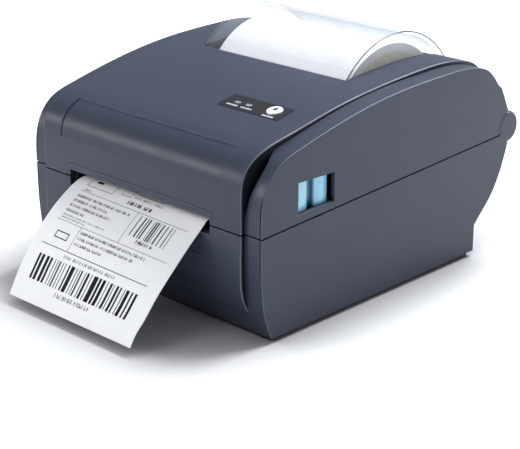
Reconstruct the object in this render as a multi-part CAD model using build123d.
from build123d import *
from math import acos, asin, atan2, cos, degrees, hypot, pi, radians, sin, tan
import os

# Desktop thermal label printer. Millimetres, +Z up, X across, the exit slot faces -Y.
# The origin is on the surface it stands on, under the middle of the whole object's box.

HALF_WIDTH = 92.6
BLOCK_HALF = 80.6
CAVITY_HALF = 78.0
WALL = 2.6
FRONT_Y = -84.0
BODY_BOTTOM_Z = 3.0
SPLIT_FRONT_Z = 61.4
SPLIT_SLOPE = 0.0508
SEAM = 0.9
HINGE_Y, HINGE_Z = 129.3, 74.6
EAR_R = 9.7
PIN_R = 2.5
RUNNING = 0.05
GAP = 0.3

BUBBLE_Y, BUBBLE_Z, BUBBLE_R = 62.2, 80.6, 57.9
BUBBLE_LEFT, BUBBLE_RIGHT = -56.0, 58.4
WINDOW_WALL = 2.0
WINDOW_SILL_Z = 108.5

ROLL_Y, ROLL_Z, ROLL_R = 63.5, 82.1, 48.3
ROLL_HALF = 52.4
CORE_R, CORE_BORE_R = 15.7, 12.7

PLATEN_Y, PLATEN_Z, PLATEN_R = -66.0, 52.6, 8.0
PLATEN_HALF = 54.0
SHAFT_R = 3.0
PAPER_HALF = 50.8
PAPER_THICK = 0.3
PAPER_Z = PLATEN_Z + PLATEN_R + GAP + PAPER_THICK / 2
PAPER_BEND_R = 25.0
PAPER_BEND_Y = -52.0

SLOT_HALF = 57.6
SLOT_LOW_Z, SLOT_HIGH_Z = 55.5, 64.9
BEZEL_HALF = 60.0
BEZEL_LOW_Z, BEZEL_HIGH_Z = 43.2, 69.1

PRESSURE = radians(25)
ADDENDUM, DEDENDUM = 0.85, 1.1
BACKLASH = 0.16
GEAR_MODULE = 0.8
PLATEN_TEETH, IDLER_TEETH, MOTOR_TEETH = 28, 36, 14
GEAR_X0, GEAR_X1 = -71.0, -66.0
MESH_SLACK = 0.05
RACK_MODULE, RACK_TEETH = 1.0, 16
RACK_Z0, RACK_Z1 = 17.0, 20.5

FRAME_IN, FRAME_OUT = 60.0, 64.0
TABLE_Z0, TABLE_Z1 = 56.6, 60.2
SENSOR_Y, SENSOR_Z = -39.0, 51.5
SENSOR_RAIL_R = 1.5
LATCH_Y, LATCH_Z = -42.0, 95.0
LATCH_SHAFT_R = 2.3
HOOK_X0, HOOK_X1 = 74.5, 77.5
CATCH_Y, CATCH_Z, CATCH_R = -48.0, 53.0, 2.0
HEAD_PIVOT_Y, HEAD_PIVOT_Z = -48.0, 68.0
PIVOT_R = 2.0
HEAD_FACE_Z = PAPER_Z + PAPER_THICK / 2 + GAP
HEAD_PLATE_Z0, HEAD_PLATE_Z1 = 84.0, 85.5

BUTTON_X, BUTTON_Y, BUTTON_R = 53.5, -33.7, 4.7
PANEL_X0, PANEL_X1, PANEL_Y0, PANEL_Y1 = 17.0, 63.0, -42.0, -27.5
PANEL_TILT = degrees(atan2(0.19, 1))
BUTTON_TOP_Z = 111.0
BUTTON_BOARD_Z0, BUTTON_BOARD_Z1 = 99.6, 101.2
BOARD_Z0, BOARD_Z1 = 8.2, 9.8
BAY_FLOOR_Z0, BAY_FLOOR_Z1 = 24.0, 26.5
PORT_Z = 14.8
SWITCH_Z = 14.2
ROCKER_X, ROCKER_Y = 58.0, 97.0
ROCKER_PIN_R = 1.0
REAR_Y = 99.5

# Outlines in the side view, as (y, z).
SIDE_FRONT_LOW = [(-76.2, 3.0), (-81.1, 15.8), (-83.4, 31.0), (-84.0, 61.4)]
SIDE_TOP = [
    (-84.0, 61.4), (-83.3, 76.9), (-80.1, 87.4), (-72.1, 96.9), (-55.8, 103.2), (-21.1, 111.2),
    (24.0, 117.6), (63.8, 119.2), (89.0, 118.5), (101.0, 116.0), (110.3, 110.6), (117.8, 102.3),
    (128.6, 84.7),
]
SIDE_REAR_LOW = [(129.1, 64.2), (123.0, 47.8), (114.1, 33.7), (104.8, 24.6), (99.5, 19.5)]
BLOCK_FRONT_LOW = [(-82.2, 17.0), (-84.9, 22.5), (-86.7, 29.0), (-87.3, 40.0), (-86.9, 61.4)]
BLOCK_TOP = [
    (-86.9, 61.4), (-86.9, 81.0), (-85.9, 89.2), (-81.4, 96.9), (-72.9, 102.1), (-50.6, 107.5),
    (-19.6, 113.6), (21.5, 119.0), (56.3, 121.4), (80.0, 121.6), (98.0, 119.2), (109.5, 114.8),
    (117.0, 107.2), (122.5, 97.0), (128.2, 84.0),
]


def inset(points, depth):
    """Moves an outline's points towards its right-hand side, by one depth or one for each point."""
    depths = depth if isinstance(depth, (list, tuple)) else [depth] * len(points)
    moved = []
    for i, (y, z) in enumerate(points):
        y0, z0 = points[max(i - 1, 0)]
        y1, z1 = points[min(i + 1, len(points) - 1)]
        length = hypot(y1 - y0, z1 - z0)
        moved.append((y + (z1 - z0) / length * depths[i], z - (y1 - y0) / length * depths[i]))
    return moved


def side_face(*edges):
    """A face in the YZ plane, bounded by edges drawn as (y, z)."""
    return Plane.YZ * make_face(list(edges))


def across(face, x0, x1):
    """Extrudes a YZ face from x0 to x1."""
    return Pos(x0, 0, 0) * extrude(face, x1 - x0, dir=(1, 0, 0))


def polygon(*points):
    return side_face(*Polyline(*points, close=True).edges())


def block(x0, x1, y0, y1, z0, z1):
    size = Box(abs(x1 - x0), abs(y1 - y0), abs(z1 - z0))
    return Pos((x0 + x1) / 2, (y0 + y1) / 2, (z0 + z1) / 2) * size


def rod_x(x0, x1, y, z, radius):
    return Pos((x0 + x1) / 2, y, z) * Rot(0, 90, 0) * Cylinder(radius, abs(x1 - x0))


def rod_y(y0, y1, x, z, radius):
    return Pos(x, (y0 + y1) / 2, z) * Rot(90, 0, 0) * Cylinder(radius, abs(y1 - y0))


def rod_z(z0, z1, x, y, radius):
    return Pos(x, y, (z0 + z1) / 2) * Cylinder(radius, abs(z1 - z0))


def join(shapes):
    shapes = list(shapes)
    return shapes[0] + shapes[1:] if len(shapes) > 1 else shapes[0]


def both_sides(shape):
    return [shape, mirror(shape, Plane.YZ)]


def group(shapes):
    """Separate solids that share one node."""
    return Compound(children=[s for shape in shapes for s in shape.solids()])


def save(name, shape):
    export_step(shape, f"parts/{name}.step")


def split_z(y):
    return SPLIT_FRONT_Z + SPLIT_SLOPE * (y - FRONT_Y)


def above_split(rise=0.0, x0=-120.0, x1=120.0):
    y0, y1 = -200.0, 200.0
    return across(polygon((y0, split_z(y0) + rise), (y1, split_z(y1) + rise), (y1, 300), (y0, 300)), x0, x1)


def below_split(drop=0.0, x0=-120.0, x1=120.0):
    y0, y1 = -200.0, 200.0
    return across(polygon((y0, split_z(y0) - drop), (y1, split_z(y1) - drop), (y1, -50), (y0, -50)), x0, x1)


# Outer body

def side_body(rise=0.0):
    face = side_face(
        Spline(*SIDE_FRONT_LOW, tangents=[(-0.4, 1), (0, 1)]),
        Spline(*SIDE_TOP, tangents=[(0, 1), (0.5, -1)]),
        Line(SIDE_TOP[-1], SIDE_REAR_LOW[0]),
        Spline(*SIDE_REAR_LOW),
        Line(SIDE_REAR_LOW[-1], (REAR_Y, BODY_BOTTOM_Z)),
        Line((REAR_Y, BODY_BOTTOM_Z), SIDE_FRONT_LOW[0]),
    )
    return Pos(0, 0, rise) * across(face, -HALF_WIDTH, HALF_WIDTH)


def block_body(rise=0.0, half=BLOCK_HALF):
    face = side_face(
        Spline(*BLOCK_FRONT_LOW, tangents=[(-0.55, 1), (0.03, 1)]),
        Spline(*BLOCK_TOP, tangents=[(0, 1), (0.5, -1)]),
        *Polyline(BLOCK_TOP[-1], (120, 70), (0, 17), BLOCK_FRONT_LOW[0]).edges(),
    )
    return Pos(0, 0, rise) * across(face, -half, half)


def soften(shape, radius, half, curves_only=False):
    """Rounds the edges at the two ends of a body drawn across X."""
    edges = [e for e in shape.edges() if abs(abs(e.center().X) - half) < 0.01]
    if curves_only:
        edges = [e for e in edges if e.geom_type == GeomType.BSPLINE]
    return fillet(edges, radius)


def groove_cutter():
    """The channel outside each ridge at the shoulder, fading out above and below."""
    line = [
        (-83.9, 66.0), (-83.6, 74.5), (-82.6, 80.5), (-80.6, 86.2), (-77.3, 91.5), (-72.1, 96.5),
        (-66.4, 99.9), (-57.0, 102.8),
    ]
    deep = [-0.8, 1.2, 3.0, 4.6, 5.0, 4.6, 1.8, -1.0]
    high = [3.0, 7.0, 9.5, 6.9, 4.6, 4.8, 6.5, 3.0]
    reach = 8.0
    faces = []
    for x, points in ((BLOCK_HALF, inset(line, deep)), (BLOCK_HALF + reach, inset(line, [-h for h in high]))):
        faces.append(Pos(x, 0, 0) * outside_of(points))
    return loft(faces, ruled=True)


def outside_of(points):
    """The face between a line of points on the front of the body and the open air."""
    around = [points[-1], (points[-1][0], 160), (-130, 160), (-130, 10), points[0]]
    return side_face(Spline(*points), *Polyline(*around).edges())


def corner_crease():
    """The fine line cut where the front of the body turns into each side."""
    line = [(-83.3, 30.0), (-83.9, 45.0), (-84.0, 61.4), (-83.8, 70.0), (-82.9, 79.0), (-80.1, 87.4)]
    points = inset(line, [-0.5, 0.6, 0.8, 0.8, 0.5, -0.5])
    return across(outside_of(points), HALF_WIDTH - 1.5, HALF_WIDTH - 0.8)


def outer_body():
    body = soften(side_body(), 0.6, HALF_WIDTH) + soften(block_body(), 0.9, BLOCK_HALF, curves_only=True)
    for cutter in both_sides(groove_cutter()) + both_sides(corner_crease()):
        body -= cutter
    return body


def inner_centre():
    """The hollow between the two cheeks, in the cover and the base alike."""
    front = inset(SIDE_FRONT_LOW[:2], WALL) + inset(BLOCK_FRONT_LOW, WALL)[2:]
    top = inset(BLOCK_TOP, WALL)[:-1]
    rear = inset(SIDE_REAR_LOW, WALL)
    face = side_face(
        Spline(*front),
        Spline(front[-1], *top[1:]),
        *Polyline(top[-1], (117.0, 84.0), (117.0, 60.0), rear[1]).edges(),
        Spline(*rear[1:]),
        *Polyline(rear[-1], (rear[-1][0], -10), (front[0][0], -10), front[0]).edges(),
    )
    return across(face, -CAVITY_HALF, CAVITY_HALF)


def inner_side(x0, x1):
    """The hollow behind one side band, clear of the groove."""
    face = polygon(
        (-71, -10), (-73, 20), (-74.5, 60), (-74, 76), (-69.5, 85), (-60, 93.5), (-52, 98), (-45, 101),
        (-30, 105), (-10, 109.5), (30, 115), (64, 116.2), (90, 115), (104, 110), (113, 100.5), (117, 88),
        (117, 52), (109, 36),
        (96.5, 24), (96.5, -10),
    )
    return across(face, x0, x1)


def inner_volume():
    return inner_centre() + both_sides(inner_side(CAVITY_HALF - 1, HALF_WIDTH - WALL))


def bezel_pocket(grow=0.0):
    width = 2 * (BEZEL_HALF + grow)
    height = BEZEL_HIGH_Z - BEZEL_LOW_Z + 2 * grow
    face = Plane.XZ * RectangleRounded(width, height, 3.0 + grow)
    middle = (BEZEL_HIGH_Z + BEZEL_LOW_Z) / 2
    return Pos(0, -75, middle) * extrude(face, 25, dir=(0, -1, 0))


def exit_slot():
    return block(-SLOT_HALF, SLOT_HALF, -100, -70, SLOT_LOW_Z, SLOT_HIGH_Z)


# Base

def boss_places():
    return [(x, y) for x in (-83.0, 83.0) for y in (-60.0, 14.0, 86.0)]


def base_housing(outer, inner):
    shell = (outer & below_split(SEAM)) - inner - bezel_pocket()
    shell -= rod_x(-BLOCK_HALF, BLOCK_HALF, HINGE_Y, HINGE_Z, EAR_R + 0.2)
    # Fan-fold paper slot in the rear wall.
    shell -= block(-56, 56, 108, 135, 50.5, 56.5)
    # Openings for the power switch, the jack and the USB port.
    shell -= block(50.3, 65.7, 90, 110, SWITCH_Z - 4.8, SWITCH_Z + 4.8)
    shell -= rod_y(90, 110, 30, PORT_Z, 5.2)
    shell -= block(-1.3, 11.7, 90, 110, PORT_Z - 5.6, PORT_Z + 5.8)
    for x, y in boss_places():
        shell += rod_z(4.2, 24, x, y, 4.0) + block(x, x + (7.5 if x > 0 else -7.5), y - 1.2, y + 1.2, 4.2, 24)
        shell -= rod_z(4.0, 16, x, y, 1.45)
    for ear in both_sides(hinge_ear()):
        shell += ear
    for lip in both_sides(side_lip()):
        shell += lip
    return shell


def hinge_ear():
    ear = rod_x(BLOCK_HALF, HALF_WIDTH, HINGE_Y, HINGE_Z, EAR_R)
    ear = fillet(ear.edges().filter_by(GeomType.CIRCLE).sort_by(Axis.X)[-1], 2.0)
    neck = polygon((117.5, 58.0), (128.2, 62.2), (HINGE_Y, HINGE_Z), (121.2, 70.6), (117.5, 70.0))
    ear += across(neck, BLOCK_HALF, HALF_WIDTH)
    return ear - rod_x(BLOCK_HALF - 1, BLOCK_HALF + 9, HINGE_Y, HINGE_Z, PIN_R)


def side_lip():
    """A tongue behind the seam, which closes the gap between the two shells."""
    inside = HALF_WIDTH - WALL
    lip = block(inside - 1.6, inside - GAP, -70, 108, 50, 90)
    root = block(inside - 1.6, inside + 0.4, -70, 108, 50, 56)
    return (lip & below_split(-2.2)) + root


def bottom_plate():
    def layer(z0, z1, margin):
        depth = (REAR_Y - margin) - (SIDE_FRONT_LOW[0][0] + margin)
        middle = ((REAR_Y - margin) + (SIDE_FRONT_LOW[0][0] + margin)) / 2
        face = RectangleRounded(2 * (HALF_WIDTH - margin), depth, 3)
        return Pos(0, middle, z0) * extrude(face, z1 - z0)

    plate = layer(0.8, BODY_BOTTOM_Z, 2.0) + layer(BODY_BOTTOM_Z, 4.2, 6.2)
    for x, y in boss_places():
        plate -= rod_z(0, 5, x, y, 1.7) + rod_z(0, 2.4, x, y, 3.2)
    for x, y in foot_places():
        plate -= rod_z(0, 2.0, x, y, 7.2)
    for x, y in board_holes():
        plate += rod_z(4.0, BOARD_Z0, x, y, 2.6)
        plate -= rod_z(3.0, BOARD_Z0 + 1, x, y, 1.2)
    # Ventilation slots under the board.
    for i in range(7):
        plate -= block(-30, 30, 20 + 7 * i, 22.4 + 7 * i, 0, 5)
    return plate


def foot_places():
    return [(x, y) for x in (-72.0, 72.0) for y in (-61.0, 84.0)]


def rubber_feet():
    feet = []
    for x, y in foot_places():
        foot = rod_z(0, 2.0, x, y, 7.0)
        feet.append(fillet(foot.edges().sort_by(Axis.Z)[0], 0.5))
    return group(feet)


def pan_screw(x, y, head_z, length, head_r=2.8, head_h=1.5, shank_r=1.4, up=True):
    """A screw whose head is under its shank, or over it when up is False, with a cross recess."""
    way = 1 if up else -1
    screw = rod_z(head_z, head_z + way * head_h, x, y, head_r)
    screw += rod_z(head_z + way * head_h / 2, head_z + way * (head_h + length), x, y, shank_r)
    for turn in (0, 90):
        screw -= Pos(x, y, head_z) * Rot(0, 0, turn) * Box(head_r * 1.2, 0.6, head_h)
    return screw


def base_screws():
    return group(pan_screw(x, y, 0.9, 9.0) for x, y in boss_places())


def front_edges(bezel, z):
    """The bezel's outer edges along X at this height."""
    return [e for e in bezel.edges().filter_by(Axis.X) if e.center().Y < -85 and abs(e.center().Z - z) < 0.1]


def lower_bezel(outer):
    patch = (outer & bezel_pocket(-GAP) & below_split(SEAM)) - inner_centre()
    shelf = block(-BEZEL_HALF + 2, BEZEL_HALF - 2, -85.5, -77.0, 52.6, SLOT_LOW_Z)
    ramp = polygon((-85, 47.0), (-77.0, 52.7), (-77.0, 54), (-85, 54))
    bezel = patch + shelf + across(ramp, -BEZEL_HALF + 2, BEZEL_HALF - 2)
    bezel -= exit_slot()
    lip = front_edges(bezel, SLOT_LOW_Z)
    return fillet(lip, 0.8) if lip else bezel


def upper_bezel(outer):
    patch = (outer & bezel_pocket(-GAP) & above_split()) - inner_centre()
    shelf = block(-BEZEL_HALF + 2, BEZEL_HALF - 2, -85.5, -79.5, SLOT_HIGH_Z, SLOT_HIGH_Z + 2.4)
    bezel = patch + shelf - exit_slot()
    lip = front_edges(bezel, SLOT_HIGH_Z)
    return fillet(lip, 1.2) if lip else bezel


def platen_frame():
    """Two end plates and the paper table between them, with a trough for the roller."""
    cheek = polygon(
        (-76.0, 15.0), (-73.0, 8.0), (-14.0, 8.0), (-14.0, 44.0), (-30.0, TABLE_Z1), (-58.0, TABLE_Z1),
        (-58.5, 57.5), (-73.5, 57.5), (-76.0, 55.0),
    )
    frame = join(across(cheek, x0, x1) for x0, x1 in ((-FRAME_OUT, -FRAME_IN), (FRAME_IN, FRAME_OUT)))
    table = block(-FRAME_IN - 1, FRAME_IN + 1, -57.0, -30.5, TABLE_Z0, TABLE_Z1)
    back = block(-FRAME_IN - 1, FRAME_IN + 1, -32.5, -30.5, 48.0, TABLE_Z0 + 1)
    tie = block(-FRAME_IN - 1, FRAME_IN + 1, -74.5, -71.0, 12.0, 16.0)
    frame += [table, back, tie]
    frame -= block(-47, 47, -42.0, -36.0, TABLE_Z0 - 1, TABLE_Z1 + 1)
    for side in (-1, 1):
        frame -= rod_x(side * (FRAME_IN - 1), side * (FRAME_OUT + 1), PLATEN_Y, PLATEN_Z, 6.0)
        frame -= rod_x(side * (FRAME_IN - 1), side * (FRAME_OUT + 1), CATCH_Y, CATCH_Z, CATCH_R)
        frame -= rod_x(side * (FRAME_IN - 1), side * (FRAME_OUT + 1), SENSOR_Y, SENSOR_Z, 1.5)
        foot = block(side * FRAME_IN, side * (FRAME_OUT + 6), -30, -20, 4.2, 9.0)
        frame += foot
    motor_y, motor_z = motor_place()
    frame -= rod_x(-FRAME_OUT - 1, -FRAME_IN + 1, motor_y, motor_z, 8.0)
    idler_y, idler_z = idler_place()
    frame -= rod_x(-FRAME_OUT - 1, -FRAME_IN + 1, idler_y, idler_z, 2.0)
    return frame


def platen_bushes():
    bushes = []
    for side in (-1, 1):
        bush = rod_x(side * (FRAME_IN - 0.5), side * (FRAME_OUT + 0.5), PLATEN_Y, PLATEN_Z, 6.0)
        bush += rod_x(side * (FRAME_IN - 1.5), side * FRAME_IN, PLATEN_Y, PLATEN_Z, 7.0)
        bush -= rod_x(side * 50, side * 70, PLATEN_Y, PLATEN_Z, SHAFT_R + RUNNING)
        bushes.append(bush)
    return group(bushes)


def catch_pins():
    pins = []
    for side in (-1, 1):
        pin = rod_x(side * (FRAME_IN + 0.2), side * 79.0, CATCH_Y, CATCH_Z, CATCH_R)
        pins.append(pin + rod_x(side * 78.4, side * 79.4, CATCH_Y, CATCH_Z, CATCH_R + 0.8))
    return group(pins)


# Gears

def gear_face(module, teeth, phase):
    """Involute gear outline in the XY plane, with a tooth centred on the angle phase."""
    pitch = module * teeth / 2
    base = pitch * cos(PRESSURE)
    tip, root = pitch + ADDENDUM * module, pitch - DEDENDUM * module
    half_at_pitch = pi / (2 * teeth) - BACKLASH / (2 * pitch)

    def half_angle(radius):
        angle = acos(base / radius) if radius > base else 0.0
        return half_at_pitch + (tan(PRESSURE) - PRESSURE) - (tan(angle) - angle)

    foot = max(base, root + 0.02)
    radii = [root, foot, (foot + pitch) / 2, pitch, (pitch + tip) / 2, tip]
    points = []
    for tooth in range(teeth):
        middle = phase + 2 * pi * tooth / teeth
        for radius in radii:
            angle = middle - half_angle(max(radius, foot))
            points.append((radius * cos(angle), radius * sin(angle)))
        for radius in reversed(radii):
            angle = middle + half_angle(max(radius, foot))
            points.append((radius * cos(angle), radius * sin(angle)))
    return make_face(Polyline(*points, close=True).edges())


def gear_x(x0, x1, y, z, module, teeth, phase, bore, hub_r=0.0):
    """A gear that turns about X."""
    gear = Pos(x0, y, z) * extrude(Plane.YZ * gear_face(module, teeth, phase), x1 - x0, dir=(1, 0, 0))
    if hub_r:
        gear += rod_x(x0 - 1.5, x1, y, z, hub_r)
    return gear - rod_x(x0 - 3, x1 + 3, y, z, bore)


def pitch_r(teeth):
    return GEAR_MODULE * teeth / 2


IDLER_ANGLE = radians(-55)
MOTOR_ANGLE = radians(-15)


def idler_place():
    reach = pitch_r(PLATEN_TEETH) + pitch_r(IDLER_TEETH) + MESH_SLACK
    return PLATEN_Y + reach * cos(IDLER_ANGLE), PLATEN_Z + reach * sin(IDLER_ANGLE)


def motor_place():
    y, z = idler_place()
    reach = pitch_r(IDLER_TEETH) + pitch_r(MOTOR_TEETH) + MESH_SLACK
    return y + reach * cos(MOTOR_ANGLE), z + reach * sin(MOTOR_ANGLE)


def meshed_phase(phase, teeth, direction, other_teeth):
    """The phase of the next gear, so that its gap meets this gear's tooth along direction."""
    tooth = 2 * pi / teeth
    behind = (direction - phase) % tooth
    return direction + pi + behind * teeth / other_teeth + pi / other_teeth


PLATEN_PHASE = IDLER_ANGLE
IDLER_PHASE = meshed_phase(PLATEN_PHASE, PLATEN_TEETH, IDLER_ANGLE, IDLER_TEETH)
MOTOR_PHASE = meshed_phase(IDLER_PHASE, IDLER_TEETH, MOTOR_ANGLE, MOTOR_TEETH)


def platen_shaft():
    return rod_x(-72.0, 68.0, PLATEN_Y, PLATEN_Z, SHAFT_R)


def platen_rubber():
    sleeve = rod_x(-PLATEN_HALF, PLATEN_HALF, PLATEN_Y, PLATEN_Z, PLATEN_R)
    sleeve = fillet(sleeve.edges().filter_by(GeomType.CIRCLE), 0.5)
    return sleeve - rod_x(-60, 60, PLATEN_Y, PLATEN_Z, SHAFT_R)


def platen_gear():
    return gear_x(GEAR_X0, GEAR_X1, PLATEN_Y, PLATEN_Z, GEAR_MODULE, PLATEN_TEETH, PLATEN_PHASE, SHAFT_R)


def idler_gear():
    y, z = idler_place()
    gear = gear_x(GEAR_X0, GEAR_X1, y, z, GEAR_MODULE, IDLER_TEETH, IDLER_PHASE, 2.0 + RUNNING)
    for i in range(5):
        angle = 2 * pi * i / 5
        gear -= rod_x(GEAR_X0 - 2, GEAR_X1 + 2, y + 8 * cos(angle), z + 8 * sin(angle), 3.0)
    return gear


def idler_stud():
    y, z = idler_place()
    stud = rod_x(GEAR_X0 - 1.5, -FRAME_IN, y, z, 2.0)
    return stud + rod_x(GEAR_X0 - 2.2, GEAR_X0 - 1.2, y, z, 3.2) + rod_x(-65.6, -64.1, y, z, 3.2)


def motor_shaft():
    y, z = motor_place()
    return rod_x(-72.5, -57.0, y, z, 2.0)


def motor_pinion():
    y, z = motor_place()
    return gear_x(GEAR_X0, GEAR_X1, y, z, GEAR_MODULE, MOTOR_TEETH, MOTOR_PHASE, 2.0)


def drive_motor():
    y, z = motor_place()
    half = 17.5
    body = block(-59.8, -36.0, y - half, y + half, z - half, z + half)
    body = chamfer(body.edges().filter_by(Axis.X), 3.0)
    body += rod_x(-62.5, -59.0, y, z, 7.8)
    body += block(-48, -38, y - 6, y + 6, z - half - 2.5, z - half + 1)
    return body - rod_x(-70, -56, y, z, 2.0 + RUNNING)


# Rear electronics

def board_holes():
    return [(x, y) for x in (-66.0, 66.0) for y in (4.0, 78.0)]


def main_board():
    board = block(-71, 71, -1, 92, BOARD_Z0, BOARD_Z1)
    for x, y in board_holes():
        board -= rod_z(BOARD_Z0 - 1, BOARD_Z1 + 1, x, y, 1.6)
    return board


def board_parts():
    top = BOARD_Z1
    parts = [
        block(-14, 6, 18, 38, top, top + 1.6),
        block(22, 34, 20, 30, top, top + 1.4),
        block(-44, -36, 12, 22, top, top + 1.2),
        block(30, 60, 2, 8, top, top + 5.5),
        block(-60, -40, 2, 8, top, top + 5.5),
    ]
    parts += [rod_z(top, top + 6.0, x, 52, 4.0) for x in (-58, -46, -34)]
    parts += [block(x, x + 3.2, 44, 45.6, top, top + 0.9) for x in (-20, -12, -4, 4, 12, 20, 28, 36)]
    return group(parts)


def board_screws():
    return group(pan_screw(x, y, BOARD_Z1 + 1.5, 3.5, 2.6, 1.5, 1.15, up=False) for x, y in board_holes())


def power_jack():
    jack = block(24.5, 35.5, 84.0, 96.4, BOARD_Z1, PORT_Z + 5.0)
    jack += rod_y(96.0, REAR_Y + 0.4, 30, PORT_Z, 5.0)
    jack -= rod_y(88.5, REAR_Y + 2, 30, PORT_Z, 2.8)
    return jack + rod_y(88.0, REAR_Y - 1.5, 30, PORT_Z, 1.05)


def usb_port():
    port = block(-1.0, 11.4, 84.5, REAR_Y + 0.4, BOARD_Z1, BOARD_Z1 + 10.6)
    port -= block(0.6, 9.8, 88.5, REAR_Y + 2, BOARD_Z1 + 1.2, BOARD_Z1 + 9.2)
    return port + block(2.6, 7.8, 88, REAR_Y - 2.5, BOARD_Z1 + 3.8, BOARD_Z1 + 6.4)


def switch_frame():
    frame = block(50.5, 65.5, 84.0, REAR_Y + 0.2, SWITCH_Z - 4.4, SWITCH_Z + 4.6)
    frame += block(48.8, 67.2, REAR_Y, REAR_Y + 1.3, SWITCH_Z - 5.2, SWITCH_Z + 5.2)
    frame -= block(52.0, 64.0, 90.0, REAR_Y + 3, SWITCH_Z - 3.8, SWITCH_Z + 3.8)
    return frame - rod_z(SWITCH_Z - 4.2, SWITCH_Z + 4.2, ROCKER_X, ROCKER_Y, ROCKER_PIN_R + RUNNING)


def power_rocker():
    """A rocker pressed in on its -X half, tilted 10 degrees from its middle position about Z."""
    half = [(0, 3.4), (5.0, 4.2), (4.8, 0.0), (2.0, -2.6)]
    outline = Polyline(*half, *[(-x, y) for x, y in reversed(half[1:])], close=True)
    body = Rot(0, 0, 10) * extrude(make_face(outline.edges()), 7.0)
    pins = rod_z(SWITCH_Z - 4.1, SWITCH_Z + 4.1, ROCKER_X, ROCKER_Y, ROCKER_PIN_R)
    return Pos(ROCKER_X, ROCKER_Y, SWITCH_Z - 3.5) * body + pins


# Roll bay and holders

def media_bay():
    outer = polygon(
        (-6.0, BAY_FLOOR_Z0), (91.0, BAY_FLOOR_Z0), (108.5, 42.0), (108.5, 50.0), (106.0, 50.0),
        (106.0, 43.2), (89.8, BAY_FLOOR_Z1), (-3.5, BAY_FLOOR_Z1), (-3.5, 56.0), (-6.0, 56.0),
    )
    bay = across(outer, -76.0, 76.0)
    wall = polygon(
        (-6.0, BAY_FLOOR_Z0), (91.0, BAY_FLOOR_Z0), (106.0, 41.0), (106.0, 50), (60.0, 62.0), (-6.0, 60.0),
    )
    for x0, x1 in ((-76.0, -74.2), (74.2, 76.0)):
        bay += across(wall, x0, x1)
    reach = RACK_MODULE * RACK_TEETH / 2
    for side in (-1, 1):
        x0, x1 = side * 50.0, side * 70.5
        y0, y1 = ROLL_Y + side * (reach + 1.2), ROLL_Y + side * (reach + 5.8)
        bay -= block(x0, x1, y0, y1, BAY_FLOOR_Z0 - 1, BAY_FLOOR_Z1 + 1)
    # Post that carries the holder pinion.
    bay += rod_z(13.0, BAY_FLOOR_Z0 + 1, 0, ROLL_Y, 3.0)
    for x in (-70.0, 70.0):
        bay += rod_z(BOARD_Z1 + 3.2, BAY_FLOOR_Z0 + 1, x, 10, 2.5)
    return bay


def holder_pinion():
    face = gear_face(RACK_MODULE, RACK_TEETH, pi / 2)
    gear = Pos(0, ROLL_Y, RACK_Z0 - 0.5) * extrude(face, RACK_Z1 - RACK_Z0 + 1.0)
    return gear - rod_z(10, 30, 0, ROLL_Y, 3.0 + RUNNING)


def rack_face(x0, teeth):
    """Rack outline in XY for the +Y side of the pinion, its teeth towards -Y."""
    pitch_y = ROLL_Y + RACK_MODULE * RACK_TEETH / 2 + MESH_SLACK
    pitch = pi * RACK_MODULE
    tip_y, root_y = pitch_y - ADDENDUM * RACK_MODULE, pitch_y + DEDENDUM * RACK_MODULE
    tip_half = pitch / 4 - BACKLASH / 2 - ADDENDUM * RACK_MODULE * tan(PRESSURE)
    root_half = pitch / 4 - BACKLASH / 2 + DEDENDUM * RACK_MODULE * tan(PRESSURE)
    points = []
    for i in range(teeth):
        middle = x0 + pitch * (i + 0.5)
        points += [(middle - root_half, root_y), (middle - tip_half, tip_y)]
        points += [(middle + tip_half, tip_y), (middle + root_half, root_y)]
    end = (56.4, root_y)
    back = ROLL_Y + RACK_MODULE * RACK_TEETH / 2 + 5.4
    points += [end, (56.4, back), (points[0][0], back)]
    return make_face(Polyline(*points, close=True).edges())


def holder_right():
    """Arm with a stepped hub that enters the core, and the rack under the bay floor."""
    inner_x, outer_x = ROLL_HALF + 0.5, ROLL_HALF + 4.0
    arm = polygon(
        (ROLL_Y - 17, 27.0), (ROLL_Y + 17, 27.0), (ROLL_Y + 17, 34.0), (ROLL_Y + 12, 82.0),
        (ROLL_Y - 12, 82.0), (ROLL_Y - 17, 34.0),
    )
    holder = across(arm, inner_x, outer_x) + rod_x(inner_x, outer_x, ROLL_Y, ROLL_Z, 19.0)
    holder += block(inner_x, 63.0, ROLL_Y - 17, ROLL_Y + 17, 27.0, 30.0)
    rib = make_face(Polyline((outer_x - 0.5, 29), (62.0, 29), (outer_x - 0.5, 62), close=True).edges())
    for y in (ROLL_Y - 14, ROLL_Y + 12):
        holder += Plane.XZ.offset(-y) * extrude(rib, -2.0)
    holder += rod_x(inner_x - 7.0, inner_x + 1, ROLL_Y, ROLL_Z, CORE_BORE_R - 0.45)
    holder -= rod_x(inner_x - 8.0, outer_x + 1, ROLL_Y, ROLL_Z, 8.5)
    pitch_y = ROLL_Y + RACK_MODULE * RACK_TEETH / 2
    holder += block(inner_x, outer_x, pitch_y + 1.6, pitch_y + 5.4, RACK_Z0, 28.0)
    holder += Pos(0, 0, RACK_Z0) * extrude(rack_face(-6 * pi, 9), RACK_Z1 - RACK_Z0)
    return holder


def holder_left():
    turn = Pos(0, ROLL_Y, 0) * Rot(0, 0, 180) * Pos(0, -ROLL_Y, 0)
    return turn * holder_right()


def coil(radius, wire, turns, height):
    """A coil spring along Z from z = 0."""
    path = Helix(pitch=height / turns, height=height, radius=radius)
    section = Plane(origin=path @ 0, z_dir=path % 0) * Circle(wire)
    return sweep(section, path=path)


def pinion_spring():
    return Pos(0, ROLL_Y, 13.2) * coil(4.3, 0.35, 3, 2.4)


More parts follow.
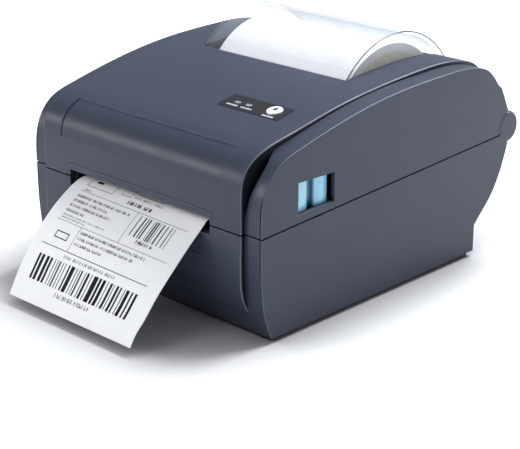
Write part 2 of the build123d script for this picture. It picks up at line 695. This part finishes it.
def label_roll():
    roll = rod_x(-ROLL_HALF, ROLL_HALF, ROLL_Y, ROLL_Z, ROLL_R)
    return roll - rod_x(-ROLL_HALF - 1, ROLL_HALF + 1, ROLL_Y, ROLL_Z, CORE_R)


def roll_core():
    core = rod_x(-ROLL_HALF, ROLL_HALF, ROLL_Y, ROLL_Z, CORE_R)
    return core - rod_x(-ROLL_HALF - 1, ROLL_HALF + 1, ROLL_Y, ROLL_Z, CORE_BORE_R)


# Paper

PAPER_LEFT = [
    (-79.4, PAPER_Z), (-85.5, 60.3), (-92.8, 57.0), (-104.0, 49.6), (-115.4, 39.2), (-123.0, 30.6),
    (-131.2, 18.9), (-139.0, 5.3),
]
PAPER_RIGHT = [
    (-79.4, PAPER_Z), (-85.5, 57.9), (-92.5, 52.2), (-102.4, 43.6), (-112.0, 34.8), (-120.5, 26.4),
    (-129.6, 16.2), (-138.6, 5.2),
]


def web_angle():
    """Slope of the straight run between the bend over the table and the roll."""
    centre_z = PAPER_Z + PAPER_BEND_R
    dy, dz = ROLL_Y - PAPER_BEND_Y, ROLL_Z - centre_z
    return atan2(dz, dy) + asin((PAPER_BEND_R + ROLL_R + 0.45) / hypot(dy, dz))


def paper_web():
    """The web from the roll, over the table and the platen, up to the slot."""
    angle = web_angle()
    half = PAPER_THICK / 2
    centre_z = PAPER_Z + PAPER_BEND_R
    reach = ROLL_R + 0.45
    up_end = (ROLL_Y - reach * sin(angle), ROLL_Z + reach * cos(angle))
    bend_end = (PAPER_BEND_Y + PAPER_BEND_R * sin(angle), centre_z - PAPER_BEND_R * cos(angle))
    bend_mid = (PAPER_BEND_Y + PAPER_BEND_R * sin(angle / 2), centre_z - PAPER_BEND_R * cos(angle / 2))

    def shifted(point, turn, side):
        return (point[0] - side * half * sin(turn), point[1] + side * half * cos(turn))

    rows = []
    for side in (-1, 1):
        rows.append([
            (PAPER_LEFT[0][0], PAPER_Z + side * half),
            (PAPER_BEND_Y, PAPER_Z + side * half),
            shifted(bend_mid, angle / 2, side),
            shifted(bend_end, angle, side),
            shifted(up_end, angle, side),
        ])
    low, high = rows
    face = side_face(
        Line(low[0], low[1]), ThreePointArc(low[1], low[2], low[3]), Line(low[3], low[4]),
        Line(low[4], high[4]), Line(high[4], high[3]), ThreePointArc(high[3], high[2], high[1]),
        Line(high[1], high[0]), Line(high[0], low[0]),
    )
    return across(face, -PAPER_HALF, PAPER_HALF)


def paper_tongue():
    """The free end, which sags a little more at its right edge."""
    half = PAPER_THICK / 2
    ends = []
    for x, line in ((-PAPER_HALF, PAPER_LEFT), (PAPER_HALF, PAPER_RIGHT)):
        low, high = inset(line, -half), inset(line, half)
        low[0], high[0] = (line[0][0], PAPER_Z - half), (line[0][0], PAPER_Z + half)
        face = side_face(
            Spline(*low, tangents=[(-1, 0), (-0.5, -0.9)]), Line(low[-1], high[-1]),
            Spline(*high, tangents=[(-1, 0), (-0.5, -0.9)]), Line(high[0], low[0]),
        )
        ends.append(Pos(x, 0, 0) * face)
    return loft(ends, ruled=True)


def label_strip():
    return paper_web() + paper_tongue()


# Sensors

def sensor_rail():
    return rod_x(-FRAME_OUT, FRAME_OUT, SENSOR_Y, SENSOR_Z, SENSOR_RAIL_R)


def gap_sensor():
    body = block(-7, 7, SENSOR_Y - 4.2, SENSOR_Y + 4.2, 47.5, 55.9)
    body += block(-5, 5, SENSOR_Y - 2.4, SENSOR_Y + 2.4, 55.5, TABLE_Z1 - 0.1)
    return body - rod_x(-8, 8, SENSOR_Y, SENSOR_Z, SENSOR_RAIL_R + RUNNING)


def cover_sensor():
    """A light barrier on the right end plate; the cover's flag drops into its gap."""
    body = block(FRAME_OUT, FRAME_OUT + 5.0, -34.0, -24.0, 30.0, 46.0)
    return body - block(FRAME_OUT + 1.6, FRAME_OUT + 3.4, -35, -23, 34.0, 47.0)


def hinge_pins():
    pins = []
    for side in (-1, 1):
        pins.append(rod_x(side * (BLOCK_HALF - 11.0), side * (BLOCK_HALF + 9), HINGE_Y, HINGE_Z, PIN_R))
    return group(pins)


# Cover

def bubble(grow):
    return rod_x(BUBBLE_LEFT - grow, BUBBLE_RIGHT + grow, BUBBLE_Y, BUBBLE_Z, BUBBLE_R + grow)


def top_cover(outer, inner):
    shell = (outer & above_split()) - inner - bezel_pocket()
    shell -= bubble(0.2) & block(-60, 60, 0, 125, WINDOW_SILL_Z, 150)
    for side in (-1, 1):
        ear = (side * (BLOCK_HALF - 0.3), side * (HALF_WIDTH + 1))
        shell -= rod_x(*ear, HINGE_Y, HINGE_Z, EAR_R + 0.6)
        shell -= latch_window(side)
    barrel = rod_x(-BLOCK_HALF + 0.4, BLOCK_HALF - 0.4, HINGE_Y, HINGE_Z, EAR_R - 0.5)
    shell += barrel
    shell -= rod_x(-BLOCK_HALF + 13, BLOCK_HALF - 13, HINGE_Y, HINGE_Z, 6.6)
    shell -= rod_x(-BLOCK_HALF, BLOCK_HALF, HINGE_Y, HINGE_Z, PIN_R + RUNNING)
    # Grip panel, let in over the shoulder.
    band = polygon((-71.6, 101.3), (-71.6, 118), (-96, 118), (-96, 82.9), (-84.2, 82.9), (-80, 90))
    grip = across(band, -64.8, 64.8) - block_body(-0.55).moved(Pos(0, 0.35, 0))
    shell -= grip
    shell -= panel_zone(0) - block_body(-0.45)
    shell -= button_hole() + lens_holes(0.1)
    for x, y in frame_bosses():
        boss = rod_z(HEAD_PLATE_Z1, 125, x, y, 3.6) & block_body(-1.0)
        shell += boss - rod_z(80, 95, x, y, 1.2)
    for x, y in board_posts():
        shell += rod_z(BUTTON_BOARD_Z1, 125, x, y, 2.2) & block_body(-1.0)
    return shell


def latch_window(side):
    """Slanted with the parting line, with a small bevel along its lower edge."""
    y0, y1 = -56.7, -28.5
    low, high = 67.6, 85.2
    fall, lip = 0.8, 0.5
    opening = polygon((y0, low), (y1, low + fall), (y1, high - fall), (y0, high))
    bevel = polygon((y0, low + 1), (y0, low - lip), (y1, low + fall - lip), (y1, low + fall + 1))
    cut = across(opening, HALF_WIDTH - 6, HALF_WIDTH + 1) + across(bevel, HALF_WIDTH - lip, HALF_WIDTH + 1)
    return cut if side > 0 else mirror(cut, Plane.YZ)


def frame_bosses():
    return [(x, y) for x in (-48.0, 48.0) for y in (-68.0, -48.0)]


def board_posts():
    return [(14.0, -29.0), (60.8, -29.0)]


def panel_zone(margin):
    zone = block(PANEL_X0 + margin, PANEL_X1 - margin, PANEL_Y0 + margin, PANEL_Y1 - margin, 104, 120)
    return fillet(zone.edges().filter_by(Axis.Z), 1.2)


def control_panel():
    sheet = (panel_zone(0.1) & block_body(0.25)) - block_body(-0.45)
    return sheet - button_hole() - lens_holes(0.1)


def on_panel(x, y, shape):
    """Places a shape drawn along Z on the sloped control panel, its origin on the surface."""
    rise = (y - BUTTON_Y) * tan(radians(PANEL_TILT))
    return Pos(x, y, BUTTON_TOP_Z + rise) * Rot(PANEL_TILT, 0, 0) * shape


def button_hole():
    return on_panel(BUTTON_X, BUTTON_Y, Pos(0, 0, -3) * Cylinder(BUTTON_R + 0.25, 12))


def feed_button():
    cap = Pos(0, 0, -1.6) * Cylinder(BUTTON_R, 4.8)
    cap = fillet(cap.edges().sort_by(Axis.Z)[-1], 0.6)
    flange = Pos(0, 0, -4.2) * Cylinder(BUTTON_R + 1.0, 1.0)
    stem = Pos(0, 0, -5.2) * Cylinder(1.6, 1.6)
    return on_panel(BUTTON_X, BUTTON_Y, cap + flange + stem)


def lens_places():
    return [(27.1, -35.2), (35.6, -35.2)]


def lens_body(grow, top, length):
    face = SlotOverall(4.4 + 2 * grow, 2.4 + 2 * grow)
    return Pos(0, 0, top - length) * extrude(face, length)


def lens_holes(grow):
    return join(on_panel(x, y, lens_body(grow, 3, 12)) for x, y in lens_places())


def indicator_lenses():
    return group(on_panel(x, y, lens_body(0, 0.35, 6.2)) for x, y in lens_places())


def button_board():
    return block(10.0, 63.6, -38.5, -26.5, BUTTON_BOARD_Z0, BUTTON_BOARD_Z1)


def tact_switch():
    """The switch under the button and the two lamps under the lenses."""
    base = BUTTON_BOARD_Z1
    body = block(BUTTON_X - 3, BUTTON_X + 3, BUTTON_Y - 3.2, BUTTON_Y + 2.8, base, base + 2.2)
    parts = [body + rod_z(base + 2, base + 2.7, BUTTON_X, BUTTON_Y + 1.0, 1.5)]
    parts += [block(x - 1.2, x + 1.2, y - 0.5, y + 0.5, base, base + 1.0) for x, y in lens_places()]
    return group(parts)


def roll_window():
    skin = bubble(0) - bubble(-WINDOW_WALL)
    low = inset(SIDE_TOP, 4.0)[4:9]
    sill = WINDOW_SILL_Z + 0.1
    rest = Polyline(low[-1], (100, sill), (125, sill), (125, 160), (low[0][0], 160), low[0])
    keep = side_face(Spline(*low), *rest.edges())
    return skin & across(keep, -70, 70)


def head_frame():
    """Folded steel plate under the cover; its ears carry the head pivots and the latch shaft."""
    frame = block(-66.0, 66.0, -74.0, -30.0, HEAD_PLATE_Z0, HEAD_PLATE_Z1)
    ear = polygon((-58, 63.5), (-40, 63.5), (-30, 84.5), (-34, 101.5), (-50, 101.5), (-60, 84.5))
    for x0, x1 in ((-66.0, -64.6), (64.6, 66.0)):
        frame += across(ear, x0, x1)
    for side in (-1, 1):
        frame -= rod_x(side * 60, side * 70, HEAD_PIVOT_Y, HEAD_PIVOT_Z, PIVOT_R + RUNNING)
        frame -= rod_x(side * 60, side * 70, LATCH_Y, LATCH_Z, LATCH_SHAFT_R + RUNNING)
    for x, y in frame_bosses():
        frame -= rod_z(80, 90, x, y, 1.6)
    flag = block(66.0 - 0.2, 67.0, -33.0, -30.0, 62.0, 86.0)
    return frame + flag


def frame_screws():
    return group(pan_screw(x, y, HEAD_PLATE_Z0 - 1.5, 6.5, 2.6, 1.5, 1.15) for x, y in frame_bosses())


def heat_sink():
    """Aluminium bar over the thermal head, with fins on top and its two pivot pins."""
    bar = block(-58.0, 58.0, -75.5, -45.5, HEAD_FACE_Z + 1.0, HEAD_FACE_Z + 7.5)
    bar += join(rod_x(side * 57, side * 66.5, HEAD_PIVOT_Y, HEAD_PIVOT_Z, PIVOT_R) for side in (-1, 1))
    for i in range(4):
        bar -= block(-60, 60, -63.0 + 3.6 * i, -61.2 + 3.6 * i, HEAD_FACE_Z + 3.5, HEAD_FACE_Z + 9)
    return bar


def thermal_head():
    strip = block(-54.0, 54.0, -73.0, -57.0, HEAD_FACE_Z + 0.15, HEAD_FACE_Z + 1.0)
    glaze = block(-52.5, 52.5, PLATEN_Y - 0.8, PLATEN_Y + 0.8, HEAD_FACE_Z, HEAD_FACE_Z + 0.3)
    return strip + glaze


def head_connector():
    return block(-14.0, 14.0, -56.0, -52.0, HEAD_FACE_Z + 0.25, HEAD_FACE_Z + 1.0)


def head_springs():
    top = HEAD_FACE_Z + 7.5
    spring = coil(3.2, 0.4, 5, HEAD_PLATE_Z0 - top - 0.9)
    return group(Pos(x, -68.5, top + 0.45) * spring for x in (-30.0, 30.0))


# Latch

def latch_shaft():
    return rod_x(-87.5, 87.5, LATCH_Y, LATCH_Z, LATCH_SHAFT_R)


def latch_lever_right():
    """Blue lever with two vertical ribs, which shows in the side window."""
    crest, edge, valley, back = 89.6, 88.6, 86.8, 84.4
    outline = [
        Line((back, -61.0), (edge, -61.0)),
        ThreePointArc((edge, -61.0), (crest, -53.6), (edge, -46.2)),
        *Polyline((edge, -46.2), (valley, -45.6), (valley, -41.2), (edge, -40.6)).edges(),
        ThreePointArc((edge, -40.6), (crest, -35.5), (edge, -30.4)),
        *Polyline((edge, -30.4), (back, -30.4), (back, -61.0)).edges(),
    ]
    grip = Pos(0, 0, 67.5) * extrude(make_face(outline), 22.2)
    eye = rod_x(back, edge, LATCH_Y, LATCH_Z, 5.5)
    neck = across(polygon((-52, 88), (-35, 88), (-37, 96), (-47, 96)), back, edge)
    return grip + eye + neck - rod_x(80, 95, LATCH_Y, LATCH_Z, LATCH_SHAFT_R)


def latch_lever_left():
    return mirror(latch_lever_right(), Plane.YZ)


def latch_hook_right():
    """Arm down to the catch pin; its toe ends just short of the pin."""
    toe = CATCH_Y - CATCH_R - 0.4
    arm = polygon(
        (-47.0, 92.0), (-38.0, 92.0), (-50.5, 64.0), (toe - 1.9, 56.5), (toe - 1.9, 52.0), (toe, 50.2),
        (toe, 47.0), (-58.0, 47.0), (-58.5, 56.0), (-57.5, 66.0),
    )
    hook = across(arm, HOOK_X0, HOOK_X1) + rod_x(HOOK_X0, HOOK_X1, LATCH_Y, LATCH_Z, 5.5)
    return hook - rod_x(70, 80, LATCH_Y, LATCH_Z, LATCH_SHAFT_R)


def latch_hook_left():
    return mirror(latch_hook_right(), Plane.YZ)


def latch_springs():
    spring = Rot(0, 90, 0) * coil(3.6, 0.35, 6, 5.0)
    return group([Pos(67.5, LATCH_Y, LATCH_Z) * spring, Pos(-72.5, LATCH_Y, LATCH_Z) * spring])


def main():
    os.makedirs("parts", exist_ok=True)
    outer, inner = outer_body(), inner_volume()
    save("base_housing", base_housing(outer, inner))
    save("top_cover", top_cover(outer, inner))
    save("lower_bezel", lower_bezel(outer))
    save("upper_bezel", upper_bezel(outer))
    makers = [
        bottom_plate, rubber_feet, base_screws, platen_frame, platen_bushes, catch_pins, platen_shaft,
        platen_rubber, platen_gear, idler_gear, idler_stud, motor_shaft, motor_pinion, drive_motor,
        main_board, board_parts, board_screws, power_jack, usb_port, switch_frame, power_rocker,
        media_bay, holder_pinion, holder_right, holder_left, pinion_spring, label_roll, roll_core,
        label_strip, sensor_rail, gap_sensor, cover_sensor, hinge_pins, control_panel, feed_button,
        indicator_lenses, button_board, tact_switch, roll_window, head_frame, frame_screws, heat_sink,
        thermal_head, head_connector, head_springs, latch_shaft, latch_lever_right, latch_lever_left,
        latch_hook_right, latch_hook_left, latch_springs,
    ]
    for maker in makers:
        save(maker.__name__, maker())


main()
